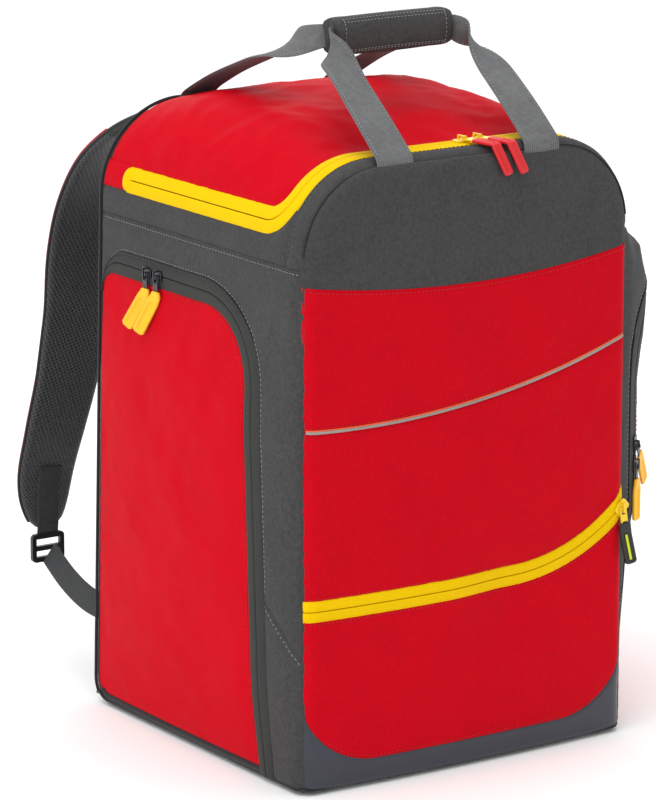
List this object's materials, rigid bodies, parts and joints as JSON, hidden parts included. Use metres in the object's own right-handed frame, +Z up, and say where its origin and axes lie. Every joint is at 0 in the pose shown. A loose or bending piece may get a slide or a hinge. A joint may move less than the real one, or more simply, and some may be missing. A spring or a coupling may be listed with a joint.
{
  "type": "ski boot bag",
  "caption": "Tall zip-topped rucksack for ski boots, with a hinged lid, side doors that open onto boot compartments, a front pocket, a carrying handle and padded shoulder straps.",
  "frame": {"origin": "centre of the base, on the surface the bag stands on", "axes": "+Z up towards the handle, the front pocket faces -Y, the shoulder straps are on the +Y side, +X to the right seen from the front"},
  "size_m": [0.4468, 0.5665, 0.709],
  "materials": {
    "black_plastic": "moulded",
    "black_pull": "soft",
    "charcoal_polyester": "plain weave, matt",
    "charcoal_zip": "woven tape and coil",
    "coated_skirt_fabric": "coated, soft highlights",
    "dark_metal": "gunmetal",
    "grey_webbing": "ribbed webbing",
    "grip_fabric": "plain weave over foam",
    "lining_fabric": "thin lining",
    "piping_cord": "bound cord",
    "red_polyester": "plain weave, soft sheen",
    "red_pull": "soft",
    "reflective_tape": "silver, retroreflective",
    "spacer_mesh": "open knit",
    "stiffener_board": "flat sheet",
    "strap_mesh": "open knit over foam",
    "yellow_enamel": "enamel",
    "yellow_pull": "soft",
    "yellow_zip": "woven tape and coil"
  },
  "bodies": {
    "bag": {"back_padding": "spacer_mesh", "back_panel": "charcoal_polyester", "back_piping": "piping_cord", "base_board": "stiffener_board", "base_panel": "coated_skirt_fabric", "front_lower_panel": "red_polyester", "front_middle_panel": "red_polyester", "front_pocket_wall": "lining_fabric", "front_pocket_zip": "yellow_zip", "front_skirt": "coated_skirt_fabric", "front_top_band": "charcoal_polyester", "front_top_panel": "charcoal_polyester", "front_upper_panel": "red_polyester", "left_boot_sleeve": "lining_fabric", "left_corner_patch": "charcoal_polyester", "left_door_zip_outer_half": "charcoal_zip", "left_front_gusset": "charcoal_polyester", "left_lower_webbing": "grey_webbing", "left_rear_corner": "charcoal_polyester", "left_shoulder_pad": "strap_mesh", "left_top_gusset": "charcoal_polyester", "lid_zip_lower_half": "yellow_zip", "reflective_piping": "reflective_tape", "right_boot_sleeve": "lining_fabric", "right_corner_patch": "charcoal_polyester", "right_door_zip_outer_half": "charcoal_zip", "right_front_gusset": "charcoal_polyester", "right_lower_webbing": "grey_webbing", "right_rear_corner": "charcoal_polyester", "right_shoulder_pad": "strap_mesh", "right_top_gusset": "charcoal_polyester"},
    "lid": {"lid_panel": "red_polyester", "lid_zip_upper_half": "yellow_zip"},
    "left_door": {"left_door_panel": "red_polyester", "left_door_zip_inner_half": "charcoal_zip"},
    "right_door": {"right_door_panel": "red_polyester", "right_door_zip_inner_half": "charcoal_zip"},
    "front_loop": {"front_handle_webbing": "grey_webbing", "front_grip_half": "grip_fabric"},
    "rear_loop": {"rear_handle_webbing": "grey_webbing", "rear_grip_half": "grip_fabric"},
    "left_door_front_pull_body": {"left_door_front_pull": "yellow_pull"},
    "left_door_front_slider_body": {"left_door_front_slider": "dark_metal"},
    "left_door_rear_pull_body": {"left_door_rear_pull": "yellow_pull"},
    "left_door_rear_slider_body": {"left_door_rear_slider": "dark_metal"},
    "left_ladder_lock_body": {"left_ladder_lock": "black_plastic"},
    "lid_left_pull_body": {"lid_left_pull": "red_pull"},
    "lid_left_slider_body": {"lid_left_slider": "yellow_enamel"},
    "lid_right_pull_body": {"lid_right_pull": "red_pull"},
    "lid_right_slider_body": {"lid_right_slider": "yellow_enamel"},
    "pocket_pull_body": {"pocket_pull": "black_pull"},
    "pocket_slider_body": {"pocket_slider": "yellow_enamel"},
    "right_door_lower_pull_body": {"right_door_lower_pull": "yellow_pull"},
    "right_door_lower_slider_body": {"right_door_lower_slider": "dark_metal"},
    "right_door_upper_pull_body": {"right_door_upper_pull": "yellow_pull"},
    "right_door_upper_slider_body": {"right_door_upper_slider": "dark_metal"},
    "right_ladder_lock_body": {"right_ladder_lock": "black_plastic"}
  },
  "joints": [
    {"name": "lid_hinge", "type": "hinge", "parent": "bag", "child": "lid", "pos_m": [0, 0.1625, 0.6123], "axis": [-1, 0, 0], "range_deg": [0, 85]},
    {"name": "left_door_hinge", "type": "hinge", "parent": "bag", "child": "left_door", "pos_m": [-0.1901, 0.18555, 0.006], "axis": [0, 0.042, -0.9991], "range_deg": [0, 100]},
    {"name": "right_door_hinge", "type": "hinge", "parent": "bag", "child": "right_door", "pos_m": [0.1901, 0.18555, 0.006], "axis": [0, -0.042, 0.9991], "range_deg": [0, 100]},
    {"name": "front_handle_swing", "type": "hinge", "parent": "bag", "child": "front_loop", "pos_m": [0, -0.183, 0.5998], "axis": [1, 0, 0], "range_deg": [0, 170]},
    {"name": "rear_handle_swing", "type": "hinge", "parent": "lid", "child": "rear_loop", "pos_m": [0, 0.1563, 0.6146], "axis": [-1, 0, 0], "range_deg": [0, 60]},
    {"name": "lid_left_slider_travel", "type": "slide", "parent": "lid", "child": "lid_left_slider_body", "axis": [-1, 0, 0], "range_m": [0, 0.055]},
    {"name": "lid_right_slider_travel", "type": "slide", "parent": "lid", "child": "lid_right_slider_body", "axis": [1, 0, 0], "range_m": [0, 0.01]},
    {"name": "left_door_front_slider_travel", "type": "slide", "parent": "left_door", "child": "left_door_front_slider_body", "axis": [0, -1, 0], "range_m": [0, 0.06]},
    {"name": "left_door_rear_slider_travel", "type": "slide", "parent": "left_door", "child": "left_door_rear_slider_body", "axis": [0, 1, 0], "range_m": [0, 0.04]},
    {"name": "right_door_lower_slider_travel", "type": "slide", "parent": "right_door", "child": "right_door_lower_slider_body", "axis": [0, 0, -1], "range_m": [0, 0.025]},
    {"name": "right_door_upper_slider_travel", "type": "slide", "parent": "right_door", "child": "right_door_upper_slider_body", "axis": [0, 0, 1], "range_m": [0, 0.06]},
    {"name": "pocket_slider_travel", "type": "hinge", "parent": "bag", "child": "pocket_slider_body", "pos_m": [0.05, -0.184, 0.383], "axis": [0, 1, 0], "range_deg": [0, 35]},
    {"name": "lid_left_pull_swing", "type": "hinge", "parent": "lid_left_slider_body", "child": "lid_left_pull_body", "pos_m": [0.016, -0.14716, 0.60363], "axis": [-0.9578, -0.2872, -0.0103], "range_deg": [0, 90]},
    {"name": "lid_right_pull_swing", "type": "hinge", "parent": "lid_right_slider_body", "child": "lid_right_pull_body", "pos_m": [0.034, -0.14716, 0.60363], "axis": [-0.9578, -0.2872, -0.0103], "range_deg": [0, 90]},
    {"name": "left_door_front_pull_swing", "type": "hinge", "parent": "left_door_front_slider_body", "child": "left_door_front_pull_body", "pos_m": [-0.19445, 0.062, 0.459], "axis": [0, 1, 0], "range_deg": [0, 90]},
    {"name": "left_door_rear_pull_swing", "type": "hinge", "parent": "left_door_rear_slider_body", "child": "left_door_rear_pull_body", "pos_m": [-0.19445, 0.081, 0.459], "axis": [0, 1, 0], "range_deg": [0, 90]},
    {"name": "right_door_lower_pull_swing", "type": "hinge", "parent": "right_door_lower_slider_body", "child": "right_door_lower_pull_body", "pos_m": [0.21947, -0.16143, 0.262], "axis": [-0.771, -0.6369, 0], "range_deg": [0, 90]},
    {"name": "right_door_upper_pull_swing", "type": "hinge", "parent": "right_door_upper_slider_body", "child": "right_door_upper_pull_body", "pos_m": [0.21947, -0.16143, 0.282], "axis": [-0.6168, -0.5095, -0.6], "range_deg": [0, 90]},
    {"name": "pocket_pull_swing", "type": "hinge", "parent": "pocket_slider_body", "child": "pocket_pull_body", "pos_m": [0.18197, -0.18845, 0.22875], "axis": [-0.9903, 0, -0.1386], "range_deg": [0, 90]},
    {"name": "left_ladder_lock_tilt", "type": "hinge", "parent": "bag", "child": "left_ladder_lock_body", "pos_m": [-0.15, 0.35, 0.131], "axis": [1, 0, 0], "range_deg": [0, 25]},
    {"name": "right_ladder_lock_tilt", "type": "hinge", "parent": "bag", "child": "right_ladder_lock_body", "pos_m": [0.15, 0.35, 0.131], "axis": [1, 0, 0], "range_deg": [0, 25]}
  ],
  "couplings": [
    {"joint": "front_handle_swing", "follows": "lid_hinge", "ratio": 2}
  ]
}
